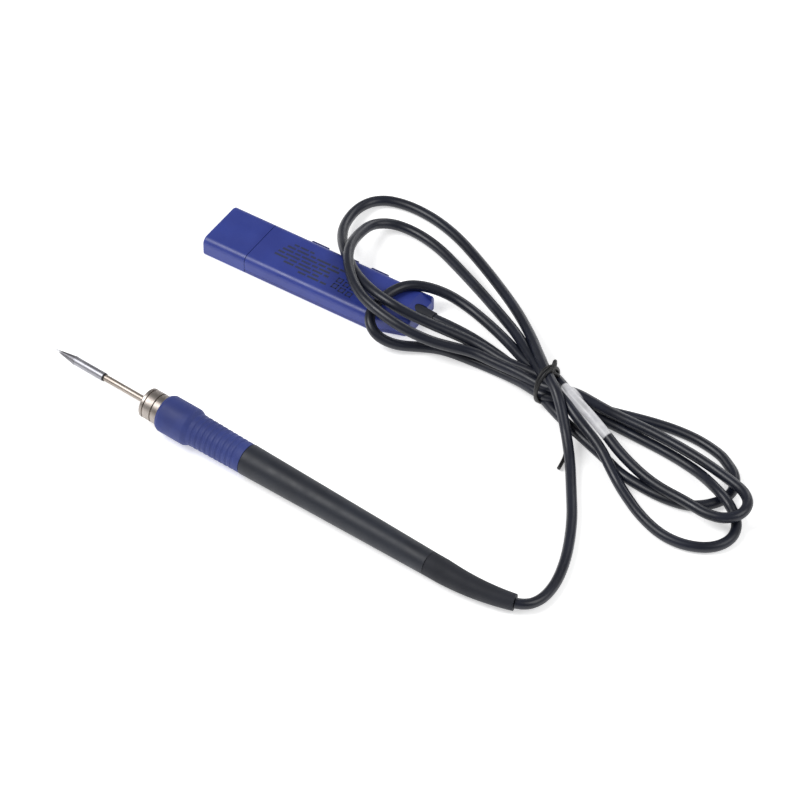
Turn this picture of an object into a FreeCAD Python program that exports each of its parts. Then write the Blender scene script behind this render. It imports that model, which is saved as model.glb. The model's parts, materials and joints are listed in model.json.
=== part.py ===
import FreeCAD, Part

import math
import os

import Sketcher

# Cartridge soldering iron with an in-line control stick on its cord.
# Frame: +Z up, both housings lie on the plane z = 0, +X runs along the stick
# from its plug cap to its cord end, +Y points to the button side of the stick.
# The pen has a local frame of its own: x along its axis from the tip's point.
# The stick has one too: x from the cap's end, y from the side away from the
# buttons, z from its underside.

V = FreeCAD.Vector

SIZES = {
    # pen: positions along its axis from the tip's point
    "bit_taper_start": 1.7,
    "bit_shoulder": 10.6,
    "bit_stem_rear": 14.8,
    "heater_front": 14.9,
    "heater_rear": 19.2,
    "shank_front": 19.4,
    "sleeve_rear": 24.4,
    "collar_front": 45.9,
    "grip_front": 54.4,
    "collar_rear": 61.0,
    "bulb_rear": 67.5,
    "bulb_step_rear": 69.6,
    "socket_front": 74.0,
    "shank_rear": 88.0,
    "ring_front": 90.0,
    "ring_rear": 93.0,
    "pin_front": 95.0,
    "pin_rear": 98.6,
    "grip_rear": 94.4,
    "socket_rear": 99.4,
    "core_rear": 101.0,
    "barrel_step": 150.0,
    "pen_cord_front": 171.0,
    "boot_plug_front": 177.0,
    "barrel_rear": 180.6,
    "boot_front": 180.8,
    "boot_taper_start": 187.0,
    "boot_bend_start": 190.0,
    # pen: radii
    "bit_point_radius": 0.16,
    "bit_tinned_radius": 0.45,
    "bit_shoulder_radius": 1.8,
    "sleeve_radius": 1.74,
    "sleeve_bore_radius": 1.42,
    "shank_radius": 1.35,
    "shank_bore_radius": 0.95,
    "core_lead_radius": 0.4,
    "pin_radius": 1.0,
    "collar_radius": 6.1,
    "collar_groove_radius": 5.55,
    "collar_bore_radius": 1.42,
    "spigot_radius": 4.35,
    "core_bore_radius": 4.4,
    "core_radius": 5.0,
    "clip_bore_radius": 1.42,
    "clip_radius": 3.2,
    "bulb_radius": 7.65,
    "grip_neck_radius": 6.62,
    "grip_rear_radius": 6.2,
    "rib_pitch": 2.4,
    "rib_radius": 1.1,
    "rib_sink": 0.28,
    "barrel_front_radius": 6.3,
    "barrel_rear_radius": 4.87,
    "barrel_front_bore": 5.05,
    "barrel_middle_bore": 4.3,
    "barrel_rear_bore": 3.4,
    "boot_plug_radius": 3.3,
    "boot_front_radius": 4.85,
    "boot_bend_radius": 4.7,
    "boot_end_radius": 3.3,
    "boot_arc_radius": 95.0,
    "boot_arc_angle": 16.6,
    "lead_radius": 0.55,
    "lead_circle_radius": 1.2,
    "crimp_radius": 2.9,
    # where the pen lies
    "pen_tip_x": -108.78,
    "pen_tip_y": -44.68,
    "pen_tip_height": 9.29,
    "pen_yaw": -3.93,
    "pen_pitch": 1.36,
    # cord
    "cord_radius": 2.1,
    "cord_bore_radius": 2.15,
    # stick
    "stick_x": -96.75,
    "stick_y": 37.8,
    "cap_length": 19.8,
    "shell_front": 20.05,
    "stick_length": 93.8,
    "stick_width": 24.0,
    "stick_height": 8.2,
    "cover_top": 1.9,
    "shell_bottom": 2.0,
    "wall": 1.2,
    "roof": 7.0,
    "cavity_front": 21.25,
    "cavity_rear": 86.0,
    "taper_start": 78.5,
    "taper_end": 92.3,
    "taper_depth": 4.4,
    "top_round": 3.0,
    "end_round": 0.8,
    "inner_round": 1.8,
    "scoop_front": 88.5,
    "scoop_low": 5.4,
    "scoop_near": 8.6,
    "scoop_far": 21.8,
    "stick_boot_y": 15.6,
    "stick_boot_height": 4.2,
    "stick_boot_hole": 3.15,
    "stick_boot_radius": 3.0,
    "stick_boot_end_radius": 2.55,
    "stick_boot_front": 83.8,
    "stick_boot_taper": 91.0,
    "stick_boot_end": 98.9,
    "stick_cord_front": 80.0,
    # plug
    "plug_front": 1.6,
    "plug_rear": 27.0,
    "plug_near": 6.0,
    "plug_width": 12.0,
    "plug_bottom": 2.15,
    "plug_height": 4.5,
    "plug_skin": 0.3,
    "plug_play": 0.17,
    # circuit board and what is on it
    "board_front": 27.3,
    "board_rear": 78.0,
    "board_near": 1.6,
    "board_far": 20.4,
    "board_bottom": 3.0,
    "board_top": 4.0,
    # buttons
    "button_first_x": 40.2,
    "button_pitch": 14.0,
    "button_length": 7.9,
    "button_bottom": 2.7,
    "button_top": 6.7,
    "button_proud": 0.6,
    "button_play": 0.15,
    "button_travel": 0.3,
    # display on the underside
    "window_front": 38.0,
    "window_rear": 64.0,
    "window_near": 6.0,
    "window_far": 18.0,
    # hank of cord
    "left_lobe_height": 17.0,
    "right_lobe_height": 10.5,
    "hank_play": 0.5,
    "waist_x": 60.5,
    "waist_y": 42.7,
    "waist_height": 7.7,
    "waist_radius": 6.1,
    "waist_length": 15.0,
    "waist_yaw": -10.0,
    "tie_wire_radius": 0.65,
}

doc = FreeCAD.newDocument("SolderingIron")
sheet = doc.addObject("Spreadsheet::Sheet", "Sizes")
for row, (alias, number) in enumerate(SIZES.items(), start=1):
    sheet.set(f"A{row}", alias)
    sheet.set(f"B{row}", str(number))
    sheet.setAlias(f"B{row}", alias)
doc.recompute()

parts = []


def size(alias):
    return float(sheet.get(alias))


def bind(expression):
    """The expression with each alias of the sheet given its full name."""
    for alias in sorted(SIZES, key=len, reverse=True):
        expression = replace_word(expression, alias, f"Sizes.{alias}")
    return expression


def replace_word(text, word, new_word):
    pieces = text.split(" ")
    return " ".join(new_word if piece == word else piece for piece in pieces)


def value(expression):
    return float(sheet.evalExpression(bind(expression)))


PEN = FreeCAD.Placement(
    V(size("pen_tip_x"), size("pen_tip_y"), size("pen_tip_height")),
    FreeCAD.Rotation(size("pen_yaw"), size("pen_pitch"), 0),
)
STICK = FreeCAD.Placement(
    V(size("stick_x"), size("stick_y"), 0), FreeCAD.Rotation()
)
HERE = FreeCAD.Placement()
COVER_TOP = size("cover_top")


def keep(part, placement):
    """Record a finished sub-part and put it where it belongs."""
    part.Placement = placement
    parts.append(part)
    return part


# ---- sketches ---------------------------------------------------------------


def new_body(label):
    body = doc.addObject("PartDesign::Body", label)
    body.Label = label
    return body


def new_sketch(body, plane, offset=None):
    """A sketch on one of the body's own planes, moved along its normal."""
    sketch = body.newObject("Sketcher::SketchObject", "Sketch")
    features = body.Origin.OriginFeatures
    base = next(item for item in features if item.Role == plane)
    sketch.AttachmentSupport = (base, "")
    sketch.MapMode = "FlatFace"
    if offset:
        sketch.setExpression("AttachmentOffset.Base.z", bind(offset))
    return sketch


def pin_point(sketch, edge, end, across, up):
    """Hold one end of an edge at (across, up), two expressions of the sheet."""
    held = (("DistanceX", -2, across), ("DistanceY", -1, up))
    for kind, axis, expression in held:
        if expression == "0":
            sketch.addConstraint(
                Sketcher.Constraint("PointOnObject", edge, end, axis)
            )
            continue
        number = value(expression)
        index = sketch.addConstraint(
            Sketcher.Constraint(kind, -1, 1, edge, end, number)
        )
        sketch.setExpression(f"Constraints[{index}]", bind(expression))


def draw_outline(sketch, corners):
    """A closed outline of straight edges through the given corners."""
    points = [V(value(across), value(up), 0) for across, up in corners]
    first = len(sketch.Geometry)
    count = len(points)
    for index in range(count):
        sketch.addGeometry(
            Part.LineSegment(points[index], points[(index + 1) % count])
        )
    for index in range(count):
        following = first + (index + 1) % count
        sketch.addConstraint(
            Sketcher.Constraint("Coincident", first + index, 2, following, 1)
        )
    for index, (across, up) in enumerate(corners):
        pin_point(sketch, first + index, 1, across, up)


def draw_box(sketch, left, right, low, high):
    """A rectangle between two across and two up values."""
    corners = [(left, low), (right, low), (right, high), (left, high)]
    draw_outline(sketch, corners)


def draw_circle(sketch, across, up, radius):
    centre = V(value(across), value(up), 0)
    index = sketch.addGeometry(Part.Circle(centre, V(0, 0, 1), value(radius)))
    pin_point(sketch, index, 3, across, up)
    constraint = sketch.addConstraint(
        Sketcher.Constraint("Radius", index, value(radius))
    )
    sketch.setExpression(f"Constraints[{constraint}]", bind(radius))


# ---- features ---------------------------------------------------------------


def turned(label, outline, placement=PEN):
    """A piece turned about the local x axis from an (x, radius) outline."""
    body = new_body(label)
    sketch = new_sketch(body, "XY_Plane")
    draw_outline(sketch, outline)
    feature = body.newObject("PartDesign::Revolution", "Revolution")
    feature.Profile = sketch
    feature.ReferenceAxis = (sketch, ["H_Axis"])
    feature.Angle = 360
    doc.recompute()
    return keep(body, placement)


def ring(label, front, rear, inner, outer, placement=PEN):
    """A plain tube about the local x axis; an inner radius of 0 is a rod."""
    outline = [(front, inner), (rear, inner), (rear, outer), (front, outer)]
    return turned(label, outline, placement)


def pad(body, sketch, length):
    feature = body.newObject("PartDesign::Pad", "Pad")
    feature.Profile = sketch
    feature.setExpression("Length", bind(length))
    doc.recompute()
    return feature


def pocket(body, sketch, length, reverse=False):
    """Cut the sketch into the body, and make sure that it did cut."""
    before = body.Shape.Volume
    feature = body.newObject("PartDesign::Pocket", "Pocket")
    feature.Profile = sketch
    feature.Reversed = reverse
    feature.setExpression("Length", bind(length))
    doc.recompute()
    if body.Shape.Volume > before - 0.01:
        raise RuntimeError(f"{body.Label}: a pocket cut nothing")
    return feature


def round_edges(body, chosen, radius):
    """Fillet the edges of the body's tip that the test picks."""
    tip = body.Tip
    names = [
        f"Edge{index}"
        for index, edge in enumerate(tip.Shape.Edges, start=1)
        if chosen(edge)
    ]
    feature = body.newObject("PartDesign::Fillet", "Fillet")
    feature.Base = (tip, names)
    feature.setExpression("Radius", bind(radius))
    doc.recompute()
    if not feature.isValid():
        raise RuntimeError(f"{body.Label}: edges could not be rounded")
    return feature


def near(first, second):
    return abs(first - second) < 0.02


def lies_at(edge, axis, number):
    """Both ends of the edge have this coordinate."""
    ends = [getattr(vertex.Point, axis) for vertex in edge.Vertexes]
    return all(near(end, number) for end in ends)


def runs_along(edge, number):
    """The edge lies at this height and mostly follows the stick's length."""
    if not lies_at(edge, "z", number) or len(edge.Vertexes) < 2:
        return False
    step = edge.Vertexes[1].Point - edge.Vertexes[0].Point
    return abs(step.x) > 2 * abs(step.y)


def is_outer(edge, joint, end):
    """An edge of the stick's underside or end face, away from the joint."""
    if lies_at(edge, "x", joint):
        return False
    at_end = lies_at(edge, "x", end) and not lies_at(edge, "z", COVER_TOP)
    return at_end or lies_at(edge, "z", 0)


def block(label, x_span, y_span, z_span, placement=STICK):
    """A rectangular piece between pairs of expressions."""
    body = new_body(label)
    sketch = new_sketch(body, "XY_Plane", z_span[0])
    draw_box(sketch, *x_span, *y_span)
    pad(body, sketch, f"( {z_span[1]} ) - ( {z_span[0]} )")
    return keep(body, placement)


def primitive(kind, label, placement, **bound):
    """A Part primitive whose properties are bound to the sheet."""
    item = doc.addObject(kind, label)
    for name, expression in bound.items():
        item.setExpression(name, bind(expression))
    item.Placement = placement
    doc.recompute()
    return item


def combined(kind, label, items):
    item = doc.addObject(kind, label)
    if kind == "Part::Cut":
        item.Base, item.Tool = items
    elif kind == "Part::Compound":
        item.Links = items
    else:
        item.Shapes = items
    doc.recompute()
    return item


ALONG_X = FreeCAD.Rotation(V(0, 1, 0), 90)


def along_x(start, y_number=0.0, z_number=0.0):
    """Placement of a primitive that grows from z so that it grows along x."""
    return FreeCAD.Placement(V(value(start), y_number, z_number), ALONG_X)


# ---- the heating cartridge, which pulls out of the pen -----------------------


def make_cartridge():
    turned("tip_bit", [
        ("0", "0"),
        ("0", "bit_point_radius"),
        ("bit_taper_start", "bit_tinned_radius"),
        ("bit_shoulder - 0.8", "bit_shoulder_radius - 0.06"),
        ("bit_shoulder - 0.6", "bit_shoulder_radius"),
        ("bit_shoulder", "bit_shoulder_radius"),
        ("bit_shoulder", "sleeve_bore_radius - 0.02"),
        ("bit_stem_rear", "sleeve_bore_radius - 0.02"),
        ("bit_stem_rear", "0"),
    ])
    ring("tip_sleeve", "bit_shoulder", "sleeve_rear", "sleeve_bore_radius",
         "sleeve_radius")
    ring("heater_core", "heater_front", "heater_rear", "0",
         "sleeve_bore_radius - 0.1")
    ring("shank_seal", "sleeve_rear", "sleeve_rear + 0.6", "shank_radius",
         "sleeve_radius - 0.1")
    ring("cartridge_shank", "shank_front", "shank_rear", "shank_bore_radius",
         "shank_radius")
    ring("core_lead", "heater_rear", "pin_front", "0", "core_lead_radius")
    ring("front_insulator", "shank_rear", "ring_front", "core_lead_radius",
         "shank_radius")
    ring("contact_ring", "ring_front", "ring_rear", "core_lead_radius + 0.2",
         "shank_radius")
    ring("rear_insulator", "ring_rear", "pin_front", "core_lead_radius",
         "shank_radius")
    turned("contact_pin", [
        ("pin_front", "0"),
        ("pin_front", "pin_radius"),
        ("pin_rear - 0.6", "pin_radius"),
        ("pin_rear", "pin_radius - 0.5"),
        ("pin_rear", "0"),
    ])


# ---- the pen's handle --------------------------------------------------------


def make_collar():
    """Steel nose with two thin grooves, and a spigot inside the grip core."""
    groove_starts = ("collar_front + 1.5", "collar_front + 5.3")
    outline = [
        ("collar_front", "collar_bore_radius"),
        ("collar_front", "collar_radius - 0.5"),
        ("collar_front + 0.5", "collar_radius"),
    ]
    for start in groove_starts:
        outline += [
            (start, "collar_radius"),
            (start, "collar_groove_radius"),
            (f"{start} + 0.55", "collar_groove_radius"),
            (f"{start} + 0.55", "collar_radius"),
        ]
    outline += [
        ("grip_front - 0.05", "collar_radius"),
        ("grip_front - 0.05", "spigot_radius"),
        ("collar_rear", "spigot_radius"),
        ("collar_rear", "collar_bore_radius"),
    ]
    turned("front_collar", outline)


GRIP_GROOVES = 9


def make_grip():
    """Rubber sleeve: a bulb at the front, then a waist with soft ribs."""
    body = turned("grip_sleeve", [
        ("grip_front", "core_radius"),
        ("grip_front", "collar_radius + 0.35"),
        ("grip_front + 0.5", "bulb_radius - 0.5"),
        ("grip_front + 1.6", "bulb_radius"),
        ("bulb_rear", "bulb_radius"),
        ("bulb_rear + 0.7", "bulb_radius - 0.25"),
        ("bulb_step_rear", "grip_neck_radius"),
        ("grip_rear", "grip_rear_radius"),
        ("grip_rear", "core_radius"),
    ])
    before = body.Shape.Volume
    for step in range(1, GRIP_GROOVES + 1):
        cut_grip_groove(body, step)
    if body.Shape.Volume > before - GRIP_GROOVES:
        raise RuntimeError("grip_sleeve: the grooves were not cut")


def cut_grip_groove(body, step):
    """One shallow round groove, as deep as its neighbours on the taper."""
    taper = "( grip_neck_radius - grip_rear_radius )"
    taper += " / ( grip_rear - bulb_step_rear )"
    sketch = new_sketch(body, "XY_Plane")
    draw_circle(
        sketch,
        f"bulb_step_rear + rib_pitch * {step}",
        "grip_neck_radius + rib_radius - rib_sink"
        f" - {taper} * rib_pitch * {step}",
        "rib_radius",
    )
    groove = body.newObject("PartDesign::Groove", "Groove")
    groove.Profile = sketch
    groove.ReferenceAxis = (sketch, ["H_Axis"])
    groove.Angle = 360
    body.Tip = groove
    doc.recompute()


def make_socket():
    """Insulating block with a pocket for each of its three ring clips."""
    clips = {
        "ground_clip": ("socket_front + 10.0", "clip_bore_radius"),
        "sensor_clip": ("ring_front + 0.2", "clip_bore_radius"),
        "power_clip": ("pin_front + 0.6", "pin_radius + 0.05"),
    }
    bore = "clip_bore_radius + 0.25"
    outline = [("socket_front", bore)]
    for label, (front, clip_bore) in clips.items():
        rear = f"{front} + 2.4"
        ring(label, front, rear, clip_bore, "clip_radius")
        outline += [
            (f"{front} - 0.05", bore),
            (f"{front} - 0.05", "clip_radius + 0.05"),
            (f"{rear} + 0.05", "clip_radius + 0.05"),
            (f"{rear} + 0.05", bore),
        ]
    outline += [
        ("socket_rear", bore),
        ("socket_rear", "spigot_radius"),
        ("socket_front", "spigot_radius"),
    ]
    turned("socket_block", outline)


def make_handle():
    ring("grip_core", "grip_front", "core_rear", "core_bore_radius",
         "core_radius")
    turned("handle_barrel", [
        ("grip_rear + 0.1", "barrel_front_bore"),
        ("grip_rear + 0.1", "barrel_front_radius - 0.25"),
        ("grip_rear + 0.35", "barrel_front_radius"),
        ("barrel_rear - 0.2", "barrel_rear_radius"),
        ("barrel_rear", "barrel_rear_radius - 0.2"),
        ("barrel_rear", "barrel_rear_bore"),
        ("barrel_step", "barrel_rear_bore"),
        ("barrel_step", "barrel_middle_bore"),
        ("core_rear + 0.2", "barrel_middle_bore"),
        ("core_rear + 0.2", "barrel_front_bore"),
    ])


def make_leads():
    """Three thin wires from the clips to the cord, in a triangle."""
    names = ("power_lead", "sensor_lead", "ground_lead")
    front = "socket_rear + 0.2"
    length = f"pen_cord_front - 0.2 - ( {front} )"
    for index, label in enumerate(names):
        turn = math.radians(90 + 120 * index)
        reach = size("lead_circle_radius")
        local = along_x(front, reach * math.cos(turn), reach * math.sin(turn))
        wire = primitive("Part::Cylinder", label, local,
                         Radius="lead_radius", Height=length)
        keep(wire, PEN.multiply(local))


def boot_arc(radius_here, radius_end, label):
    """A round bar, straight or tapering, along the bend of the pen's boot."""
    bend = size("boot_arc_radius")
    angle = size("boot_arc_angle")
    start_x = size("boot_bend_start")
    spine = primitive(
        "Part::Circle", f"{label}_spine",
        FreeCAD.Placement(V(start_x, bend, 0), FreeCAD.Rotation(-90, 0, 0)),
        Radius="boot_arc_radius", Angle2="boot_arc_angle",
    )
    first = primitive("Part::Circle", f"{label}_first",
                      along_x("boot_bend_start"), Radius=radius_here)
    end_point = boot_end_point()
    end_turn = FreeCAD.Rotation(V(0, 0, 1), angle).multiply(ALONG_X)
    last = primitive("Part::Circle", f"{label}_last",
                     FreeCAD.Placement(end_point, end_turn), Radius=radius_end)
    sweep = doc.addObject("Part::Sweep", label)
    sweep.Sections = [first, last]
    sweep.Spine = (spine, ["Edge1"])
    sweep.Solid = True
    sweep.Frenet = True
    doc.recompute()
    return sweep


def boot_end_point():
    """Centre of the boot's end face in the pen's frame."""
    bend = size("boot_arc_radius")
    angle = math.radians(size("boot_arc_angle"))
    return V(size("boot_bend_start") + bend * math.sin(angle),
             bend * (1 - math.cos(angle)), 0)


def rod(label, front, rear, radius):
    return primitive("Part::Cylinder", label, along_x(front),
                     Radius=radius, Height=f"{rear} - ( {front} )")


def make_boot():
    """Strain relief: a plug in the barrel, a straight stretch and a bend."""
    cone = primitive(
        "Part::Cone", "boot_cone", along_x("boot_taper_start"),
        Radius1="boot_front_radius", Radius2="boot_bend_radius",
        Height="boot_bend_start - boot_taper_start",
    )
    solid = combined("Part::MultiFuse", "boot_solid", [
        rod("boot_plug", "boot_plug_front", "boot_front", "boot_plug_radius"),
        rod("boot_head", "boot_front", "boot_taper_start", "boot_front_radius"),
        cone,
        boot_arc("boot_bend_radius", "boot_end_radius", "boot_tail"),
    ])
    bore = combined("Part::MultiFuse", "boot_bore", [
        rod("boot_bore_front", "boot_plug_front - 1", "boot_bend_start",
            "cord_bore_radius"),
        boot_arc("cord_bore_radius", "cord_bore_radius", "boot_bore_tail"),
    ])
    keep(combined("Part::Cut", "handle_boot", [solid, bore]), PEN)
    cord = combined("Part::MultiFuse", "pen_cord_end", [
        rod("cord_end_front", "pen_cord_front", "boot_bend_start",
            "cord_radius"),
        boot_arc("cord_radius", "cord_radius", "cord_end_tail"),
    ])
    keep(cord, PEN)
    ring("pen_crimp", "pen_cord_front + 0.8", "pen_cord_front + 4.8",
         "cord_radius", "crimp_radius")


# ---- the control stick -------------------------------------------------------

STICK_OUTLINE = [
    ("shell_front", "0"),
    ("taper_start", "0"),
    ("taper_end", "taper_depth"),
    ("stick_length", "taper_depth + 1.4"),
    ("stick_length", "stick_width"),
    ("shell_front", "stick_width"),
]

CAVITY_OUTLINE = [
    ("cavity_front", "wall"),
    ("taper_start - 0.3", "wall"),
    ("cavity_rear", "wall + 2.4"),
    ("cavity_rear", "stick_width - wall"),
    ("cavity_front", "stick_width - wall"),
]


def button_x(index):
    return f"button_first_x + button_pitch * {index}"


def cut_boot_hole(body):
    """Round hole through the stick's end, about the boot's axis."""
    hole = new_sketch(body, "YZ_Plane", "cavity_rear - 1")
    draw_circle(hole, "stick_boot_y", "stick_boot_height", "stick_boot_hole")
    pocket(body, hole, "stick_length - cavity_rear + 2", reverse=True)


def make_upper_shell():
    body = new_body("upper_shell")
    outline = new_sketch(body, "XY_Plane", "shell_bottom")
    draw_outline(outline, STICK_OUTLINE)
    pad(body, outline, "stick_height - shell_bottom")
    top = size("stick_height")
    end = size("stick_length")
    round_edges(body, lambda edge: runs_along(edge, top), "top_round")
    round_edges(body, lambda edge: lies_at(edge, "x", end)
                and not lies_at(edge, "z", size("shell_bottom")), "end_round")

    cavity = new_sketch(body, "XY_Plane", "shell_bottom")
    draw_outline(cavity, CAVITY_OUTLINE)
    pocket(body, cavity, "roof - shell_bottom", reverse=True)
    roof = size("roof")
    round_edges(body, lambda edge: runs_along(edge, roof), "inner_round")

    plug_hole = new_sketch(body, "YZ_Plane", "shell_front")
    draw_box(plug_hole, "plug_near - plug_play",
             "plug_near + plug_width + plug_play", "shell_bottom",
             "plug_bottom + plug_height + plug_play")
    pocket(body, plug_hole, "wall + 0.5", reverse=True)

    slots = new_sketch(body, "XZ_Plane", "0 - stick_width")
    for index in range(3):
        draw_slot(slots, index)
    pocket(body, slots, "wall + 0.6", reverse=True)

    scoop = new_sketch(body, "XZ_Plane", "0 - scoop_far")
    draw_outline(scoop, [
        ("scoop_front", "stick_height + 0.1"),
        ("stick_length + 0.1", "scoop_low"),
        ("stick_length + 0.1", "stick_height + 0.1"),
    ])
    pocket(body, scoop, "scoop_far - scoop_near", reverse=True)
    cut_boot_hole(body)
    keep(body, STICK)


def draw_slot(sketch, index):
    """The hole that one button stands in, a little larger than the button."""
    middle = button_x(index)
    draw_box(
        sketch,
        f"{middle} - button_length / 2 - button_play",
        f"{middle} + button_length / 2 + button_play",
        "button_bottom - button_play",
        "button_top + button_play",
    )


def make_lower_cover():
    body = new_body("lower_cover")
    outline = new_sketch(body, "XY_Plane")
    draw_outline(outline, STICK_OUTLINE)
    pad(body, outline, "cover_top")
    front = size("shell_front")
    end = size("stick_length")
    round_edges(body, lambda edge: is_outer(edge, front, end), "end_round")
    cavity = new_sketch(body, "XY_Plane", "cover_top")
    draw_outline(cavity, CAVITY_OUTLINE)
    pocket(body, cavity, "cover_top - wall")
    window = new_sketch(body, "XY_Plane", "cover_top")
    draw_box(window, "window_front", "window_rear", "window_near",
             "window_far")
    pocket(body, window, "cover_top + 1")
    cut_boot_hole(body)
    keep(body, STICK)


def make_cap():
    """Pull-off cap with a pocket for the plug and two lightening pockets."""
    body = new_body("plug_cap")
    outline = new_sketch(body, "XY_Plane")
    draw_box(outline, "0", "cap_length", "0", "stick_width")
    pad(body, outline, "stick_height")
    top = size("stick_height")
    round_edges(body, lambda edge: runs_along(edge, top), "top_round")
    mouth = size("cap_length")
    round_edges(body, lambda edge: is_outer(edge, mouth, 0), "end_round")
    low = "plug_bottom - plug_play"
    high = "plug_bottom + plug_height + plug_play"
    hollow = new_sketch(body, "YZ_Plane", "cap_length")
    draw_box(hollow, "plug_near - plug_play",
             "plug_near + plug_width + plug_play", low, high)
    pocket(body, hollow, "cap_length - wall")
    side_spans = (("wall + 0.4", "plug_near - 1.5"),
                  ("plug_near + plug_width + 1.5", "stick_width - wall - 0.4"))
    for left, right in side_spans:
        side = new_sketch(body, "YZ_Plane", "cap_length")
        draw_box(side, left, right, "wall + 0.8", "stick_height - 2.0")
        pocket(body, side, "cap_length - 4.0")
    keep(body, STICK)


def make_plug():
    """Flat metal plug: a folded shell, an insulating tongue, four contacts."""
    far = "plug_near + plug_width"
    high = "plug_bottom + plug_height"
    body = new_body("plug_shell")
    outline = new_sketch(body, "YZ_Plane", "plug_front")
    draw_box(outline, "plug_near", far, "plug_bottom", high)
    pad(body, outline, "plug_rear - plug_front")
    front = size("plug_front")
    rear = size("plug_rear")
    round_edges(body, lambda edge: not lies_at(edge, "x", front)
                and not lies_at(edge, "x", rear), "plug_skin + 0.2")
    hollow = new_sketch(body, "YZ_Plane", "plug_rear")
    draw_box(hollow, "plug_near + plug_skin", f"{far} - plug_skin",
             "plug_bottom + plug_skin", f"{high} - plug_skin")
    pocket(body, hollow, "plug_rear - plug_front + 1")
    for near_side in ("plug_near + 2.3", "plug_near + 7.4"):
        latch = new_sketch(body, "XY_Plane", f"{high} + 1")
        draw_box(latch, "plug_front + 5.2", "plug_front + 7.5", near_side,
                 f"{near_side} + 2.3")
        pocket(body, latch, "plug_height + 3")
    keep(body, STICK)

    block("plug_tongue", ("plug_front + 0.8", "plug_rear"),
          ("plug_near + plug_skin + 0.1", f"{far} - plug_skin - 0.1"),
          (f"{high} - plug_skin - 2.0", f"{high} - plug_skin - 0.1"))
    strips = []
    widths = (("plug_near + 1.9", 1.2), ("plug_near + 4.5", 1.0),
              ("plug_near + 6.5", 1.0), ("plug_near + 8.9", 1.2))
    for index, (side, width) in enumerate(widths):
        strip = primitive(
            "Part::Box", f"contact_{index + 1}",
            FreeCAD.Placement(V(size("plug_front") + 1.6, value(side),
                                value(f"{high} - plug_skin - 2.15")),
                              FreeCAD.Rotation()),
            Length="plug_rear - plug_front - 1.6", Width=str(width),
            Height="0.13",
        )
        strips.append(strip)
    keep(combined("Part::Compound", "plug_contacts", strips), STICK)


def make_electronics():
    block("circuit_board", ("board_front", "board_rear"),
          ("board_near", "board_far"), ("board_bottom", "board_top"))
    block("control_chip", ("48", "55"), ("5", "12"),
          ("board_top", "board_top + 1.0"))
    block("power_inductor", ("31", "38"), ("4", "11"),
          ("board_top", "board_top + 2.5"))
    transistors = []
    for index in range(2):
        local = FreeCAD.Placement(V(62 + 6.5 * index, 4.5, size("board_top")),
                                  FreeCAD.Rotation())
        transistors.append(primitive(
            "Part::Box", f"transistor_{index + 1}", local,
            Length="5", Width="6", Height="1.1"))
    keep(combined("Part::Compound", "power_transistors", transistors), STICK)
    block("display_module", ("window_front - 1", "window_rear + 1"),
          ("window_near - 1", "window_far + 1"), ("wall + 0.1", "2.8"))
    block("display_window", ("window_front + 0.1", "window_rear - 0.1"),
          ("window_near + 0.1", "window_far - 0.1"), ("0.05", "wall"))
    leads = []
    for index in range(3):
        local = along_x("board_rear - 4", size("stick_boot_y") - 1.3
                        + 1.3 * index, size("board_top") + 0.6)
        leads.append(primitive(
            "Part::Cylinder", f"board_lead_{index + 1}", local,
            Radius="lead_radius", Height="stick_cord_front - board_rear + 4"))
    keep(combined("Part::Compound", "board_leads", leads), STICK)


def make_buttons():
    """Each side button has a wide foot behind the wall and its own switch."""
    inner_face = "stick_width - wall - 0.2"
    for index in range(3):
        middle = button_x(index)
        body = new_body(f"button_{index + 1}")
        face = new_sketch(body, "XZ_Plane", "0 - stick_width - button_proud")
        draw_box(face, f"{middle} - button_length / 2",
                 f"{middle} + button_length / 2", "button_bottom",
                 "button_top")
        block_depth = f"stick_width + button_proud - ( {inner_face} )"
        pad(body, face, block_depth)
        outer = size("stick_width") + size("button_proud")
        round_edges(body, lambda edge: lies_at(edge, "y", outer), "0.35")
        foot = new_sketch(body, "XZ_Plane", f"0 - ( {inner_face} )")
        draw_box(foot, f"{middle} - button_length / 2 - 1",
                 f"{middle} + button_length / 2 + 1", "2.4", "5.7")
        pad(body, foot, "0.8")
        stem = new_sketch(body, "XZ_Plane", f"0 - ( {inner_face} - 0.8 )")
        draw_box(stem, f"{middle} - 1.2", f"{middle} + 1.2", "3.2", "5.2")
        pad(body, stem, "0.4")
        keep(body, STICK)
        block(f"switch_{index + 1}", (f"{middle} - 3", f"{middle} + 3"),
              ("board_far - 3.4", f"{inner_face} - 1.2 - button_travel - 0.05"),
              ("board_top", "board_top + 2.2"))


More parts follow.
